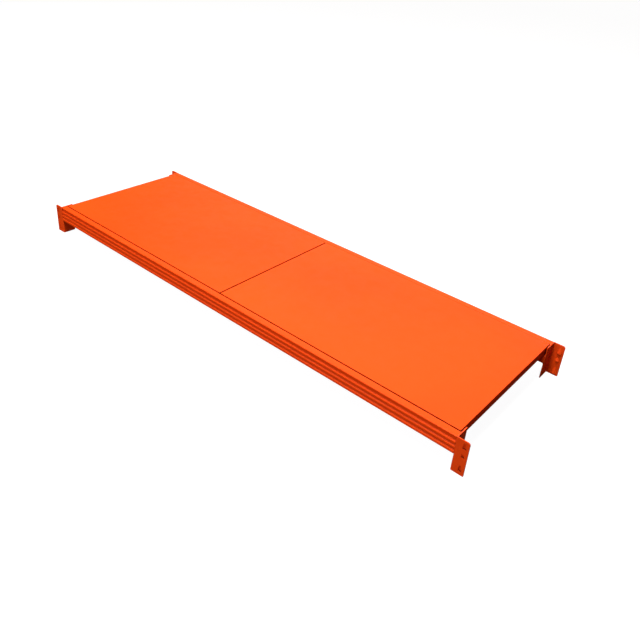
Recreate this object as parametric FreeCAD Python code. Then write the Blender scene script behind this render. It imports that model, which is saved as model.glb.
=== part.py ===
import FreeCAD, Part
import math
import os

# One level of boltless shelving, in millimetres: two stepped beams with welded end connectors,
# and two folded deck panels that lie in the steps. +X runs along the beams, +Y to the back and
# +Z up. The origin is midway between the beams, on the plane that the connectors stand on.

Vector = FreeCAD.Vector

# Overall sizes
beam_length = 1850.0       # between the end connectors
shelf_depth = 600.0        # over the outer faces of the two beams

# Roll-formed stepped beam
beam_height = 60.0
beam_wall = 1.5
beam_bend = 0.8            # inside radius of every bend in the section
flange_width = 23.5        # top flange, outside the deck
ledge_width = 27.0         # ledge under the edge of the deck

# Rolled grooves in the outer face of the beam, listed from the top down
nose_band = 3.8            # plain face above the first groove
rib_band = 5.0             # plain face between two grooves
foot_band = 8.5            # plain face below the last groove
groove_depths = (4.0, 3.2, 3.2)
groove_mouth_shares = (1.5, 1.0, 1.0)    # how the grooves share the height that is left
groove_floor_shares = (0.5, 0.2, 0.2)    # flat floor of each groove, as part of its mouth

# Folded deck panel
deck_height = 28.0         # folded edge, also the depth of the step in the beam
deck_sheet = 1.0
deck_bend = 0.3            # inside radius of the folds
deck_lip = 12.0            # return lip that bears on the ledge
deck_relief = 0.3          # slit beside each fold at the corners
deck_front_gap = 4.0
deck_rear_gap = 0.3
deck_end_gap = 4.0
deck_seam_gap = 5.0

# Hat-section stiffeners under each deck panel
stiffeners_per_panel = 2
hat_sheet = 1.0
hat_bend = 1.0
hat_drop = 18.0
hat_crown = 24.0
hat_slope = 3.0            # sideways run of each sloping wall
hat_flange = 14.0
hat_end_gap = 1.5

# End connector, an angle with punched hooks
plate = 3.0
plate_bend = 1.5           # inside radius of the angle
end_leg = 50.0             # leg that closes the end of the beam
post_leg = 40.0            # leg that lies on the face of the post
post_leg_top_round = 7.0
post_leg_foot_round = 2.5
hook_pitch = 38.0
hook_margin = 8.0          # plate above the top hook and below the bottom hook
hook_inset = 13.0          # from the free edge of the post leg to the middle of the hooks
hook_axis_out = 1.7        # the axis of each hood stands this far outside the post leg
hook_tip_radius = 4.0      # inside, at the closed upper end
hook_tip_wall = 1.0
hook_mouth_wall = 2.5
hook_overlap = 3.0         # each hood hangs this far below the opening it was punched from
hook_lead = 1.0            # the lip below the opening is thinned by this much, behind the hood
hook_length = 23.0         # the top and bottom hooks
hook_mouth_radius = 6.7    # inside, at the open lower end
lug_length = 13.0          # the short hook between them
lug_mouth_radius = 6.3
drain_radius = 4.5         # lets the coating bath out of the beam
drain_margin = 2.0         # from the underside of the ledge to the drain hole

# Places that follow from these sizes
connector_height = 2 * hook_pitch + hook_length + 2 * hook_margin
top_z = connector_height
ledge_z = top_z - deck_height
beam_foot_z = top_z - beam_height
beam_end = beam_length / 2
outer_face = -shelf_depth / 2
beam_width = flange_width + ledge_width
deck_depth = shelf_depth - 2 * flange_width - deck_front_gap - deck_rear_gap
deck_middle_y = (deck_front_gap - deck_rear_gap) / 2
panel_length = (beam_length - 2 * deck_end_gap - deck_seam_gap) / 2
panel_middle_x = (panel_length + deck_seam_gap) / 2
deck_fold = deck_bend + deck_sheet


def left_normal(start, end):
    """Unit vector to the left of the line from start to end, in the XY plane."""
    run = end - start
    return Vector(-run.y, run.x, 0).normalize()


def outline_normals(points, closed):
    """The left normals before and after each point of an outline."""
    ends = points[1:] + points[:1] if closed else points[1:]
    normals = [left_normal(start, end) for start, end in zip(points, ends)]
    if closed:
        return list(zip(normals[-1:] + normals[:-1], normals))
    return list(zip(normals[:1] + normals, normals + normals[-1:]))


def sheet_sides(outline, thickness, bend, closed):
    """Points and bend radii of an outline and of its copy one sheet thickness to the left."""
    points = [Vector(a, b, 0) for a, b in outline]
    near, far = [], []
    for point, (before, after) in zip(points, outline_normals(points, closed)):
        shift = (before + after) * (thickness / (1 + before.dot(after)))
        turn = before.cross(after).z
        inside = bend if abs(turn) > 1e-9 else 0.0
        outside = bend + thickness if abs(turn) > 1e-9 else 0.0
        near.append((point, outside if turn > 0 else inside))
        far.append((point + shift, inside if turn > 0 else outside))
    return near, far


def rounded_wire(corners):
    """Closed wire through points that each carry the radius of their corner."""
    joints = []
    count = len(corners)
    for index, (point, radius) in enumerate(corners):
        if radius == 0:
            joints.append((point, None, point))
            continue
        back = (corners[index - 1][0] - point).normalize()
        ahead = (corners[(index + 1) % count][0] - point).normalize()
        half_angle = back.getAngle(ahead) / 2
        reach = radius / math.tan(half_angle)
        middle = (back + ahead).normalize() * (radius / math.sin(half_angle) - radius)
        joints.append((point + back * reach, point + middle, point + ahead * reach))
    edges = []
    for index, (start, middle, end) in enumerate(joints):
        if middle is not None:
            edges.append(Part.Arc(start, middle, end).toShape())
        following = joints[(index + 1) % count][0]
        if end.distanceToPoint(following) > 1e-6:
            edges.append(Part.LineSegment(end, following).toShape())
    return Part.Wire(edges)


def strip_face(outline, thickness, bend):
    """Section of a bent sheet whose one side follows an open outline."""
    near, far = sheet_sides(outline, thickness, bend, closed=False)
    return Part.Face(rounded_wire(near + far[::-1]))


def tube_face(outline, wall, bend):
    """Section of a closed roll-formed tube; the outline runs anticlockwise round its outside."""
    outside, inside = sheet_sides(outline, wall, bend, closed=True)
    return Part.Face(rounded_wire(outside)).cut(Part.Face(rounded_wire(inside)))


def extruded(face, length, origin, across, up):
    """Solid of a section: its x and y run along across and up, and it is drawn out along the third."""
    solid = face.extrude(Vector(0, 0, length)).Solids[0]
    solid.Placement = FreeCAD.Placement(origin, FreeCAD.Rotation(across, up, across.cross(up), "XYZ"))
    return solid


def groove_points():
    """Points of the grooves down the outer face, from the top."""
    plain = nose_band + foot_band + rib_band * (len(groove_depths) - 1)
    unit = (beam_height - plain) / sum(groove_mouth_shares)
    points = []
    z = top_z - nose_band
    for depth, mouth_share, floor_share in zip(groove_depths, groove_mouth_shares, groove_floor_shares):
        mouth = unit * mouth_share
        slope = mouth * (1 - floor_share) / 2
        points += [(0, z), (depth, z - slope), (depth, z - mouth + slope), (0, z - mouth)]
        z -= mouth + rib_band
    return points


def stepped_beam():
    """Front beam: grooved outer face, top flange, and a step that carries the deck."""
    outline = [
        (0, beam_foot_z),
        (beam_width, beam_foot_z),
        (beam_width, ledge_z),
        (flange_width, ledge_z),
        (flange_width, top_z),
        (0, top_z),
    ]
    section = tube_face(outline + groove_points(), beam_wall, beam_bend)
    start = Vector(-beam_end, outer_face, 0)
    return extruded(section, beam_length, start, Vector(0, 1, 0), Vector(0, 0, 1))


def add_hook(angle, top, length, mouth_radius):
    """Punch one hood-shaped hook through the post leg: closed above, hanging open below."""
    low = Vector(beam_end + post_leg - hook_inset, outer_face - hook_axis_out, top - length)
    reach = mouth_radius + hook_mouth_wall
    hollow = Part.makeCone(mouth_radius, hook_tip_radius, length, low)
    hood = Part.makeCone(reach, hook_tip_radius + hook_tip_wall, length, low)
    inner_side = Part.makeBox(2 * reach, reach, length, low + Vector(-reach, hook_axis_out + plate / 2, 0))
    lip_depth = hook_axis_out + plate - hook_lead
    lip = Part.makeBox(2 * reach, lip_depth, hook_overlap, low - Vector(reach, 0, 0))
    return angle.fuse(hood.common(inner_side)).cut(hollow.cut(lip))


def end_connector():
    """Front right connector: one leg closes the end of the beam, the other lies on the post."""
    plan = [(beam_end, outer_face + end_leg), (beam_end, outer_face), (beam_end + post_leg, outer_face)]
    section = strip_face(plan, plate, plate_bend)
    angle = extruded(section, connector_height, Vector(), Vector(1, 0, 0), Vector(0, 1, 0))
    free_edge = beam_end + post_leg
    for z, radius in ((top_z, post_leg_top_round), (0, post_leg_foot_round)):
        corner = [
            edge
            for edge in angle.Edges
            if all(abs(vertex.X - free_edge) + abs(vertex.Z - z) < 1e-6 for vertex in edge.Vertexes)
        ]
        angle = angle.makeFillet(radius, corner)
    hooks = (
        (hook_length, hook_mouth_radius),
        (lug_length, lug_mouth_radius),
        (hook_length, hook_mouth_radius),
    )
    for index, (length, mouth_radius) in enumerate(hooks):
        angle = add_hook(angle, top_z - hook_margin - index * hook_pitch, length, mouth_radius)
    drain_z = ledge_z - beam_wall - drain_margin - drain_radius
    drain_place = Vector(beam_end, outer_face + beam_width / 2, drain_z)
    drain = Part.makeCylinder(drain_radius, plate, drain_place, Vector(1, 0, 0))
    return angle.cut(drain).removeSplitter().Solids[0]


def folded_edge(side):
    """Fold and return lip along one side of a panel, with mitred ends. The outer face is on y = 0."""
    half = side / 2 - deck_fold - deck_relief
    path = [(deck_fold, 0), (0, 0), (0, -deck_height), (deck_lip, -deck_height)]
    section = strip_face(path, deck_sheet, deck_bend)
    strip = extruded(section, 2 * half, Vector(-half, 0, 0), Vector(0, 1, 0), Vector(0, 0, 1))
    mitre = half - deck_lip + deck_fold
    plan = [
        Vector(half, 0, -deck_height),
        Vector(half, deck_fold, -deck_height),
        Vector(mitre, deck_lip, -deck_height),
        Vector(-mitre, deck_lip, -deck_height),
        Vector(-half, deck_fold, -deck_height),
        Vector(-half, 0, -deck_height),
    ]
    trim = Part.Face(Part.makePolygon(plan + plan[:1])).extrude(Vector(0, 0, deck_height))
    return strip.common(trim)


def deck_panel(middle_x):
    """One folded sheet: flat top, four folded edges and their return lips."""
    flat_x = panel_length - 2 * deck_fold
    flat_y = deck_depth - 2 * deck_fold
    top = Part.makeBox(flat_x, flat_y, deck_sheet, Vector(-flat_x / 2, -flat_y / 2, -deck_sheet))
    edges = []
    for quarter in range(4):
        along, inward = (panel_length, deck_depth) if quarter % 2 == 0 else (deck_depth, panel_length)
        edge = folded_edge(along)
        edge.translate(Vector(0, -inward / 2, 0))
        edge.rotate(Vector(), Vector(0, 0, 1), 90 * quarter)
        edges.append(edge)
    panel = top.multiFuse(edges).removeSplitter().Solids[0]
    panel.translate(Vector(middle_x, deck_middle_y, top_z))
    return panel


def stiffener(middle_x):
    """Hat section that runs front to back against the underside of a panel."""
    shoulder = hat_crown / 2 + hat_slope
    half_path = [(shoulder + hat_flange, 0), (shoulder, 0), (hat_crown / 2, -hat_drop)]
    path = half_path + [(-a, b) for a, b in half_path[::-1]]
    length = deck_depth - 2 * (deck_sheet + hat_end_gap)
    start = Vector(middle_x, deck_middle_y + length / 2, top_z - deck_sheet)
    return extruded(strip_face(path, hat_sheet, hat_bend), length, start, Vector(1, 0, 0), Vector(0, 0, 1))


def mirrored(shape, normal):
    return shape.mirror(Vector(), normal)


def build_nodes():
    across, along = Vector(0, 1, 0), Vector(1, 0, 0)
    front_beam = stepped_beam()
    front_right = end_connector()
    rear_right = mirrored(front_right, across)
    nodes = {
        "front_beam": front_beam,
        "rear_beam": mirrored(front_beam, across),
        "front_right_connector": front_right,
        "rear_right_connector": rear_right,
        "front_left_connector": mirrored(front_right, along),
        "rear_left_connector": mirrored(rear_right, along),
    }
    spacing = panel_length / (stiffeners_per_panel + 1)
    for side, sign in (("left", -1), ("right", 1)):
        middle = sign * panel_middle_x
        nodes[side + "_deck_panel"] = deck_panel(middle)
        for number in range(1, stiffeners_per_panel + 1):
            place = middle - panel_length / 2 + number * spacing
            nodes["{}_stiffener_{}".format(side, number)] = stiffener(place)
    return nodes


os.makedirs("parts", exist_ok=True)
for name, shape in build_nodes().items():
    shape.exportStep("parts/{}.step".format(name))
    print("{:24s} valid {}  volume {:10.0f}".format(name, shape.isValid(), shape.Volume))
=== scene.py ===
import math
import bmesh
import bpy
from mathutils import Matrix, Vector


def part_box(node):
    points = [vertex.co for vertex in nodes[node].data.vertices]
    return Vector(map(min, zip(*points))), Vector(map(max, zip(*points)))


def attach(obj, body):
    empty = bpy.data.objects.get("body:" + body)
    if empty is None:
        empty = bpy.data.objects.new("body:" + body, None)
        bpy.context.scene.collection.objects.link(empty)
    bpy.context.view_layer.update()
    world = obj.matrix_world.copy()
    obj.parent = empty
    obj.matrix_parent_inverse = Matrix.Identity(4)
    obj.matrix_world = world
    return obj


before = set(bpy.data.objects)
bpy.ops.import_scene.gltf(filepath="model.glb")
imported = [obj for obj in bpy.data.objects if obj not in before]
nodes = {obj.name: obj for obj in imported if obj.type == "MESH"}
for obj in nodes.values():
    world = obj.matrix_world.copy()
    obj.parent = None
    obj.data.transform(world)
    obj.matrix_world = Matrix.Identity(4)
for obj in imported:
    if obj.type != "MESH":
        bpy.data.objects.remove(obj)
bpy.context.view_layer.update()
scene = bpy.context.scene
print("shelf loaded:", len(nodes), "steel pieces")


# powder coat, one look for each kind of steel piece
deckCoat = {
    "name": "deckPowderCoat",
    "deepTone": (0.76, 0.057, 0.0029),
    "lightTone": (0.82, 0.065, 0.0033),
    "toneSize": 2.2,
    "toneDetail": 3.0,
    "toneSpread": (0.35, 0.65),
    "stretch": (1.0, 1.0, 1.0),
    "ior": 1.5,
    "gloss": 0.09,
    "roughness": (0.48, 0.58),
    "satinSize": 30.0,
    "satinDetail": 2.0,
    "satinSpread": (0.3, 0.7),
    "peelSize": 650.0,
    "peelDetail": 1.5,
    "peelHeight": 0.00009,
    "waveSize": 3.5,
    "waveDetail": 1.0,
    "waveHeight": 0.0006,
    "paintedShadeTone": (0.15, 0.010, 0.0008),    # painted shade: dark tone laid into narrow joints and hollows
    "hollowReach": 0.012,
    "hollowRange": (0.30, 0.85),
    "hollowSamples": 8,
    "hollowAlone": False,         # the pieces beside it count too
}
beamCoat = dict(
    deckCoat,
    name="beamPowderCoat",
    toneSize=3.0,
    stretch=(0.25, 6.0, 6.0),     # drawn out along the rolling direction
    waveHeight=0.0002,
)
connectorCoat = dict(
    deckCoat,
    name="connectorPowderCoat",
    toneSize=9.0,
    gloss=0.35,
    roughness=(0.36, 0.45),
    peelHeight=0.00012,
    hollowReach=0.030,
    hollowRange=(0.34, 0.54),
    hollowAlone=True,             # only its own hollows count: painted shade inside the hooks
    waveSize=20.0,
    waveHeight=0.0001,
)


def addNode(tree, kind, **inputs):
    node = tree.nodes.new(kind)
    for key, value in inputs.items():
        node.inputs[key].default_value = value
    return node


def makePowderCoat(look):
    material = bpy.data.materials.new(look["name"])
    material.use_nodes = True
    tree = material.node_tree
    tree.nodes.clear()
    link = tree.links.new
    output = tree.nodes.new("ShaderNodeOutputMaterial")
    paint = tree.nodes.new("ShaderNodeBsdfPrincipled")
    paint.inputs["IOR"].default_value = look["ior"]
    paint.inputs["Specular IOR Level"].default_value = look["gloss"]
    link(paint.outputs["BSDF"], output.inputs["Surface"])

    place = tree.nodes.new("ShaderNodeTexCoord")
    drawn = addNode(tree, "ShaderNodeMapping", Scale=look["stretch"])
    link(place.outputs["Object"], drawn.inputs["Vector"])

    # slow drift of the film between two close oranges
    tone = addNode(
        tree, "ShaderNodeTexNoise", Scale=look["toneSize"], Detail=look["toneDetail"],
    )
    link(drawn.outputs["Vector"], tone.inputs["Vector"])
    toneRamp = tree.nodes.new("ShaderNodeValToRGB")
    deepStop, lightStop = toneRamp.color_ramp.elements
    deepStop.position, lightStop.position = look["toneSpread"]
    deepStop.color = (*look["deepTone"], 1.0)
    lightStop.color = (*look["lightTone"], 1.0)
    link(tone.outputs["Fac"], toneRamp.inputs["Fac"])

    # painted shade: the paint colour is darkened in joints and hollows where ambient occlusion
    # is high
    hollow = addNode(tree, "ShaderNodeAmbientOcclusion", Distance=look["hollowReach"])
    hollow.only_local = look["hollowAlone"]
    hollow.samples = look["hollowSamples"]
    paintedShadeMask = addNode(tree, "ShaderNodeMapRange")
    paintedShadeMask.inputs["From Min"].default_value = look["hollowRange"][0]
    paintedShadeMask.inputs["From Max"].default_value = look["hollowRange"][1]
    link(hollow.outputs["AO"], paintedShadeMask.inputs["Value"])
    # painted shade: mixes the dark tone in where the surface is occluded
    paintedShadeMix = tree.nodes.new("ShaderNodeMix")
    paintedShadeMix.data_type = "RGBA"
    colourIn = [socket for socket in paintedShadeMix.inputs if socket.type == "RGBA"]
    colourOut = [socket for socket in paintedShadeMix.outputs if socket.type == "RGBA"]
    colourIn[0].default_value = (*look["paintedShadeTone"], 1.0)
    link(paintedShadeMask.outputs["Result"], paintedShadeMix.inputs["Factor"])
    link(toneRamp.outputs["Color"], colourIn[1])
    link(colourOut[0], paint.inputs["Base Color"])

    # satin that is a little uneven
    satin = addNode(
        tree, "ShaderNodeTexNoise", Scale=look["satinSize"], Detail=look["satinDetail"],
    )
    link(drawn.outputs["Vector"], satin.inputs["Vector"])
    satinRange = addNode(tree, "ShaderNodeMapRange")
    satinRange.inputs["From Min"].default_value = look["satinSpread"][0]
    satinRange.inputs["From Max"].default_value = look["satinSpread"][1]
    satinRange.inputs["To Min"].default_value = look["roughness"][0]
    satinRange.inputs["To Max"].default_value = look["roughness"][1]
    link(satin.outputs["Fac"], satinRange.inputs["Value"])
    link(satinRange.outputs["Result"], paint.inputs["Roughness"])

    # sheet that is never quite flat, and orange peel on top of it
    wave = addNode(
        tree, "ShaderNodeTexNoise", Scale=look["waveSize"], Detail=look["waveDetail"],
    )
    link(place.outputs["Object"], wave.inputs["Vector"])
    waveBump = addNode(tree, "ShaderNodeBump", Strength=1.0, Distance=look["waveHeight"])
    link(wave.outputs["Fac"], waveBump.inputs["Height"])
    peel = addNode(
        tree, "ShaderNodeTexNoise", Scale=look["peelSize"], Detail=look["peelDetail"],
    )
    link(place.outputs["Object"], peel.inputs["Vector"])
    peelBump = addNode(tree, "ShaderNodeBump", Strength=1.0, Distance=look["peelHeight"])
    link(peel.outputs["Fac"], peelBump.inputs["Height"])
    link(waveBump.outputs["Normal"], peelBump.inputs["Normal"])
    link(peelBump.outputs["Normal"], paint.inputs["Normal"])
    return material


deckMaterial = makePowderCoat(deckCoat)
beamMaterial = makePowderCoat(beamCoat)
connectorMaterial = makePowderCoat(connectorCoat)
for nodeName, steel in nodes.items():
    material = deckMaterial
    if nodeName.endswith("beam"):
        material = beamMaterial
    elif nodeName.endswith("connector"):
        material = connectorMaterial
    steel.data.materials.clear()
    steel.data.materials.append(material)
print("powder coat on", len(nodes), "pieces")


# weld runs, with the ripples that each one cools into
weldRun = {
    "sides": 12,
    "ripple": 0.0026,      # from one ripple to the next
    "dip": 0.90,           # thickness between two ripples
    "tip": 0.45,           # thickness at the ends
}


def addWeldRun(bm, start, end, radius):
    start, end = Vector(start), Vector(end)
    run = end - start
    steps = 2 * max(2, round(run.length / weldRun["ripple"]))
    stride = run / steps
    turn = run.to_track_quat("Z", "Y").to_matrix().to_4x4()
    ring = bmesh.ops.create_circle(
        bm, cap_ends=True, segments=weldRun["sides"], radius=radius * weldRun["tip"],
        matrix=Matrix.Translation(start) @ turn,
    )["verts"]
    cap = ring[0].link_faces[0]
    thick = weldRun["tip"]
    for step in range(1, steps + 1):
        grown = bmesh.ops.extrude_face_region(bm, geom=[cap])["geom"]
        if step > 1:
            bmesh.ops.delete(bm, geom=[cap], context="FACES_ONLY")    # only the ends stay closed
        ring = [item for item in grown if isinstance(item, bmesh.types.BMVert)]
        cap = next(item for item in grown if isinstance(item, bmesh.types.BMFace))
        nextThick = 1.0 if step % 2 else weldRun["dip"]
        if step == steps:
            nextThick = weldRun["tip"]
        bmesh.ops.translate(bm, verts=ring, vec=stride)
        bmesh.ops.scale(
            bm, verts=ring, vec=(nextThick / thick,) * 3,
            space=Matrix.Translation(-(start + step * stride)),
        )
        thick = nextThick


def finishPiece(bm, name, material):
    bmesh.ops.recalc_face_normals(bm, faces=bm.faces)
    mesh = bpy.data.meshes.new(name)
    bm.to_mesh(mesh)
    bm.free()
    mesh.shade_smooth()
    mesh.materials.append(material)
    piece = bpy.data.objects.new(name, mesh)
    scene.collection.objects.link(piece)
    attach(piece, "root")


# three runs hold each beam end to its connector
endWeld = {
    "notch": (0.9265, 0.2979), "notchHeights": (0.0565, 0.1140), "notchRadius": 0.0020,
    "foot": (0.9242, 0.0542), "footDepths": (0.2520, 0.2960), "footRadius": 0.0024,
    "inner": (0.9253, 0.2502), "innerHeights": (0.0570, 0.0850), "innerRadius": 0.0017,
}


def makeEndWelds(name, side, depth):
    bm = bmesh.new()
    x, y = side * endWeld["notch"][0], depth * endWeld["notch"][1]
    low, high = endWeld["notchHeights"]
    addWeldRun(bm, (x, y, low), (x, y, high), endWeld["notchRadius"])
    x, z = side * endWeld["foot"][0], endWeld["foot"][1]
    near, far = endWeld["footDepths"]
    addWeldRun(bm, (x, depth * near, z), (x, depth * far, z), endWeld["footRadius"])
    x, y = side * endWeld["inner"][0], depth * endWeld["inner"][1]
    low, high = endWeld["innerHeights"]
    addWeldRun(bm, (x, y, low), (x, y, high), endWeld["innerRadius"])
    finishPiece(bm, name, connectorMaterial)


# the folded corners of each deck panel are closed by a short run
cornerWeld = {"inset": 0.0010, "radius": 0.00125, "drop": 0.0004}


def makeCornerWelds(panel):
    low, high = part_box(panel)
    inset, drop = cornerWeld["inset"], cornerWeld["drop"]
    bm = bmesh.new()
    for x in (low[0] + inset, high[0] - inset):
        for y in (low[1] + inset, high[1] - inset):
            addWeldRun(
                bm, (x, y, low[2] + drop), (x, y, high[2] - drop), cornerWeld["radius"],
            )
    finishPiece(bm, panel.replace("panel", "corner_welds"), deckMaterial)


# electrode marks under the flanges of the stiffeners
spotWeld = {
    "radius": 0.0032,
    "sides": 14,
    "sunk": 0.0001,
    "stand": 0.00035,
    "taper": 0.86,         # lower rim against the upper one
    "rim": 0.0009,
    "dish": 0.0002,
    "count": 8,
    "first": -0.250,
    "spacing": 0.072,
    "flange": 0.022,       # from the middle of the stiffener
    "under": 0.113,        # height of the flanges' lower faces
}


def makeSpotWelds(stiffener):
    low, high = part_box(stiffener)
    middle = (low[0] + high[0]) / 2
    bm = bmesh.new()
    for x in (middle - spotWeld["flange"], middle + spotWeld["flange"]):
        for number in range(spotWeld["count"]):
            place = Vector((
                x, spotWeld["first"] + number * spotWeld["spacing"],
                spotWeld["under"] + spotWeld["sunk"],
            ))
            ring = bmesh.ops.create_circle(
                bm, cap_ends=True, segments=spotWeld["sides"], radius=spotWeld["radius"],
                matrix=Matrix.Translation(place),
            )["verts"]
            grown = bmesh.ops.extrude_face_region(bm, geom=[ring[0].link_faces[0]])["geom"]
            ring = [item for item in grown if isinstance(item, bmesh.types.BMVert)]
            mark = next(item for item in grown if isinstance(item, bmesh.types.BMFace))
            bmesh.ops.translate(
                bm, verts=ring, vec=(0.0, 0.0, -spotWeld["sunk"] - spotWeld["stand"]),
            )
            bmesh.ops.scale(
                bm, verts=ring, vec=(spotWeld["taper"], spotWeld["taper"], 1.0),
                space=Matrix.Translation(-place),
            )
            bmesh.ops.inset_region(bm, faces=[mark], thickness=spotWeld["rim"])
            bmesh.ops.translate(bm, verts=mark.verts, vec=(0.0, 0.0, spotWeld["dish"]))
    finishPiece(bm, stiffener.replace("stiffener", "spot_welds"), deckMaterial)


makeEndWelds("front_right_welds", 1, -1)
makeEndWelds("rear_right_welds", 1, 1)
makeEndWelds("front_left_welds", -1, -1)
makeEndWelds("rear_left_welds", -1, 1)
for nodeName in nodes:
    if nodeName.endswith("deck_panel"):
        makeCornerWelds(nodeName)
    elif "stiffener" in nodeName:
        makeSpotWelds(nodeName)
print("welds laid at the beam ends, the deck corners and the stiffeners")


# white sweep that the shelf stands on
sweep = {
    "flatRadius": 9.0,
    "curveRadius": 3.0,
    "wallHeight": 6.0,
    "tone": (0.15, 0.15, 0.15),      # with the glow, just white where the light falls
    "glow": (0.945, 0.953, 0.957),
    "glowStrength": 1.0,
    "roughness": 0.9,
    "segments": 96,
    "curveSteps": 12,
    "mergeGap": 0.001,
}


def makeSweep():
    bm = bmesh.new()
    start = bm.verts.new((0.0, 0.0, 0.0))
    edge = bm.verts.new((sweep["flatRadius"], 0.0, 0.0))
    bm.edges.new((start, edge))
    bend = bmesh.ops.spin(
        bm, geom=[edge], cent=(sweep["flatRadius"], 0.0, sweep["curveRadius"]),
        axis=(0.0, -1.0, 0.0), angle=math.pi / 2, steps=sweep["curveSteps"], use_merge=False,
    )
    rim = [item for item in bend["geom_last"] if isinstance(item, bmesh.types.BMVert)]
    wall = bmesh.ops.extrude_vert_indiv(bm, verts=rim)
    bmesh.ops.translate(bm, verts=wall["verts"], vec=(0.0, 0.0, sweep["wallHeight"]))
    bmesh.ops.spin(
        bm, geom=bm.verts[:] + bm.edges[:], cent=(0.0, 0.0, 0.0), axis=(0.0, 0.0, 1.0),
        angle=2 * math.pi, steps=sweep["segments"], use_merge=True,
    )
    bmesh.ops.remove_doubles(bm, verts=bm.verts, dist=sweep["mergeGap"])
    bmesh.ops.recalc_face_normals(bm, faces=bm.faces)
    mesh = bpy.data.meshes.new("studioSweep")
    bm.to_mesh(mesh)
    bm.free()
    mesh.shade_smooth()
    floor = bpy.data.objects.new("studioSweep", mesh)
    scene.collection.objects.link(floor)
    material = bpy.data.materials.new("sweepWhite")
    material.use_nodes = True
    white = material.node_tree.nodes["Principled BSDF"]
    white.inputs["Base Color"].default_value = (*sweep["tone"], 1.0)
    white.inputs["Roughness"].default_value = sweep["roughness"]
    white.inputs["Emission Color"].default_value = (*sweep["glow"], 1.0)
    white.inputs["Emission Strength"].default_value = sweep["glowStrength"]
    mesh.materials.append(material)
    # the sweep shows and takes the shadow, but throws no light back up
    floor.visible_diffuse = False
    floor.visible_glossy = False
    floor.visible_shadow = False


makeSweep()


# soft boxes, one over the deck and the rest round it
overheadBox = {"place": (0.3, -0.6, 4.6), "size": (1.2, 2.4), "power": 379.0}
middleBox = {"place": (0.45, -3.6, 2.4), "size": (0.8, 1.5), "power": 46.0}
lowBox = {"place": (-1.6, -4.2, 1.4), "size": (3.5, 1.6), "power": 64.0}
backBox = {"place": (-2.4, 3.4, 2.6), "size": (3.5, 2.0), "power": 50.0}
rearBox = {"place": (0.9, 4.4, 0.8), "size": (2.5, 1.0), "power": 55.0}    # for the far side
boxAim = (0.0, 0.0, 0.1)
ambient = {"tone": (1.0, 0.40, 0.1), "strength": 0.106}


def makeSoftBox(name, box):
    lamp = bpy.data.lights.new(name, "AREA")
    lamp.shape = "RECTANGLE"
    lamp.size, lamp.size_y = box["size"]
    lamp.energy = box["power"]
    holder = bpy.data.objects.new(name, lamp)
    aim = Vector(boxAim) - Vector(box["place"])
    holder.rotation_euler = aim.to_track_quat("-Z", "Y").to_euler()
    holder.location = box["place"]
    scene.collection.objects.link(holder)


def makeAir():
    world = bpy.data.worlds.new("studioAir")
    world.use_nodes = True
    air = world.node_tree.nodes["Background"]
    air.inputs["Color"].default_value = (*ambient["tone"], 1.0)
    air.inputs["Strength"].default_value = ambient["strength"]
    scene.world = world


makeSoftBox("overheadBox", overheadBox)
makeSoftBox("middleBox", middleBox)
makeSoftBox("lowBox", lowBox)
makeSoftBox("backBox", backBox)
makeSoftBox("rearBox", rearBox)
makeAir()
scene.view_settings.view_transform = "Standard"


# camera from the front right, above the deck
shot = {
    "place": (1.4423, -1.5793, 1.3126),
    "yaw": -39.210,       # degrees, from +Y towards +X
    "pitch": 28.568,      # downwards
    "roll": 4.3,
    "sensor": 36.0,
    "lens": 38.096,
    "shift": (0.0156, -0.0930),
    "farClip": 100.0,
}


def makeCamera():
    lens = bpy.data.cameras.new("shelfCamera")
    lens.sensor_width = shot["sensor"]
    lens.sensor_fit = "HORIZONTAL"
    lens.lens = shot["lens"]
    lens.shift_x, lens.shift_y = shot["shift"]
    lens.clip_end = shot["farClip"]
    camera = bpy.data.objects.new("shelfCamera", lens)
    turn = Matrix.Rotation(math.radians(-shot["yaw"]), 4, "Z")
    tip = Matrix.Rotation(math.radians(90.0 - shot["pitch"]), 4, "X")
    roll = Matrix.Rotation(math.radians(shot["roll"]), 4, "Z")
    camera.matrix_world = Matrix.Translation(shot["place"]) @ turn @ tip @ roll
    scene.collection.objects.link(camera)
    scene.camera = camera


makeCamera()
print("sweep, light and camera set")
